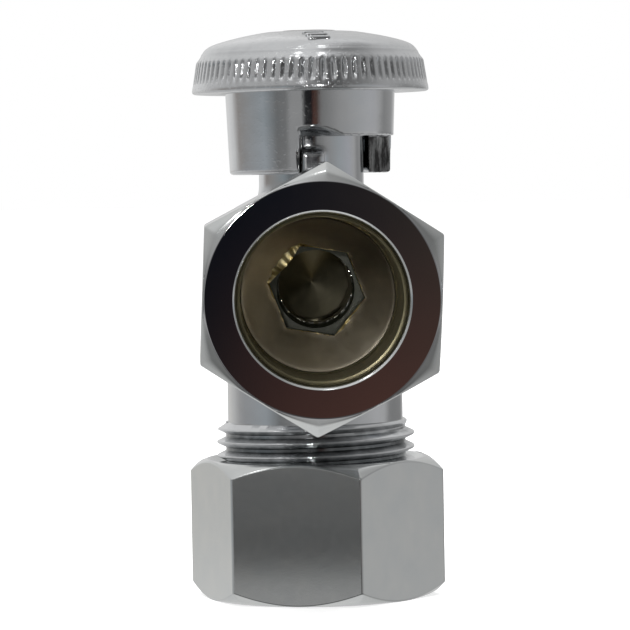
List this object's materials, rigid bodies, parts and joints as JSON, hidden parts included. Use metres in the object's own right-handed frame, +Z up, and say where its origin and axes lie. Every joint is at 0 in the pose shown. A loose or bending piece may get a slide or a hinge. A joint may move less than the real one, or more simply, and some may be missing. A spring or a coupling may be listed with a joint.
{
  "type": "angle stop valve",
  "caption": "Chrome quarter-turn angle stop valve: compression inlet below, compression outlet in front, oval ribbed handle on the stem above.",
  "frame": {"origin": "centre of the inlet nut's lower face, on the inlet axis", "axes": "+Z up along the inlet and the stem, towards the handle; -Y out of the outlet; +X completes a right-handed frame"},
  "size_m": [0.0262, 0.0459, 0.0589],
  "materials": {
    "chrome_body": "polished chrome plate on forged brass",
    "chrome_nut": "satin chrome plate on brass",
    "chrome_handle": "chrome plate on a die casting",
    "ball_chrome": "polished chrome plate on brass",
    "brass": "machined",
    "ptfe": "machined PTFE",
    "acetal": "moulded acetal",
    "rubber": "moulded nitrile rubber",
    "steel": "zinc-plated steel"
  },
  "bodies": {
    "valve": {"valve_body": "chrome_body", "seat_retainer": "brass", "retainer_o_ring": "rubber", "outlet_seat": "ptfe", "outlet_seat_o_ring": "rubber", "rear_seat": "ptfe", "rear_seat_o_ring": "rubber", "thrust_washer": "ptfe", "neck_bearing_washer": "acetal"},
    "handle": {"handle": "chrome_handle", "stem": "brass", "stem_o_ring_lower": "rubber", "stem_o_ring_upper": "rubber", "handle_screw": "steel", "lock_washer": "steel"},
    "ball": {"ball": "ball_chrome"},
    "inlet_sleeve": {"inlet_ferrule": "brass"},
    "inlet_nut": {"inlet_nut": "chrome_nut"},
    "outlet_sleeve": {"outlet_ferrule": "brass"},
    "outlet_nut": {"outlet_nut": "chrome_nut"}
  },
  "joints": [
    {"name": "handle_turn", "type": "hinge", "parent": "valve", "child": "handle", "pos_m": [0, 0, 0.05], "axis": [0, 0, 1], "range_deg": [-90, 0]},
    {"name": "ball_turn", "type": "hinge", "parent": "valve", "child": "ball", "pos_m": [0, 0, 0.0318], "axis": [0, 0, 1], "range_deg": [-95, 5]},
    {"name": "inlet_travel", "type": "slide", "parent": "valve", "child": "inlet_sleeve", "axis": [0, 0, -1], "range_m": [0, 0.00424]},
    {"name": "inlet_nut_spin", "type": "hinge", "parent": "inlet_sleeve", "child": "inlet_nut", "pos_m": [0, 0, 0], "axis": [0, 0, -1], "range_deg": [0, 1080]},
    {"name": "outlet_travel", "type": "slide", "parent": "valve", "child": "outlet_sleeve", "axis": [0, -1, 0], "range_m": [0, 0.00424]},
    {"name": "outlet_nut_spin", "type": "hinge", "parent": "outlet_sleeve", "child": "outlet_nut", "pos_m": [0, -0.028, 0.0318], "axis": [0, -1, 0], "range_deg": [0, 1080]}
  ],
  "couplings": [
    {"joint": "ball_turn", "follows": "handle_turn", "ratio": 1},
    {"joint": "inlet_travel", "follows": "inlet_nut_spin", "m_per_rad": 0.00022441},
    {"joint": "outlet_travel", "follows": "outlet_nut_spin", "m_per_rad": 0.00022441}
  ]
}
